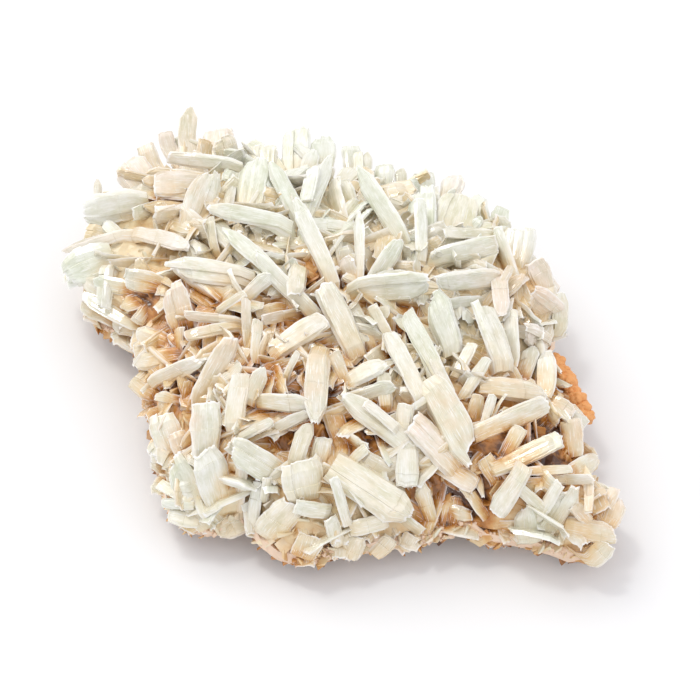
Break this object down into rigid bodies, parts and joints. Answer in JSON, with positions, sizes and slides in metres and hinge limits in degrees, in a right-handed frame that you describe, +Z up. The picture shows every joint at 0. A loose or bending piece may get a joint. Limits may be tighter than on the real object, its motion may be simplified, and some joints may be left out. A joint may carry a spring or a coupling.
{
  "type": "blue barite crystal cluster",
  "caption": "Low domed cluster of pale blue-green to cream tabular barite blades crossing in every direction on a thin pink-orange crust.",
  "frame": {"origin": "middle of the bounding box, in the plane of the flat spot that the cluster rests on", "axes": "+X to the right along the longest side, +Y to the back, +Z up through the thickness, out of the bladed face"},
  "size_m": [0.102, 0.0988, 0.0281],
  "materials": {
    "barite": "translucent, glassy to pearly, finely striated along the blades, honey-stained deep in the gaps",
    "crust": "matt, granular, pink-beige with orange stains",
    "iron_oxide": "matt, earthy, rust-orange"
  },
  "bodies": {
    "root": {"barite_blades": "barite", "matrix_crust": "crust", "iron_oxide_lumps": "iron_oxide"}
  },
  "joints": []
}
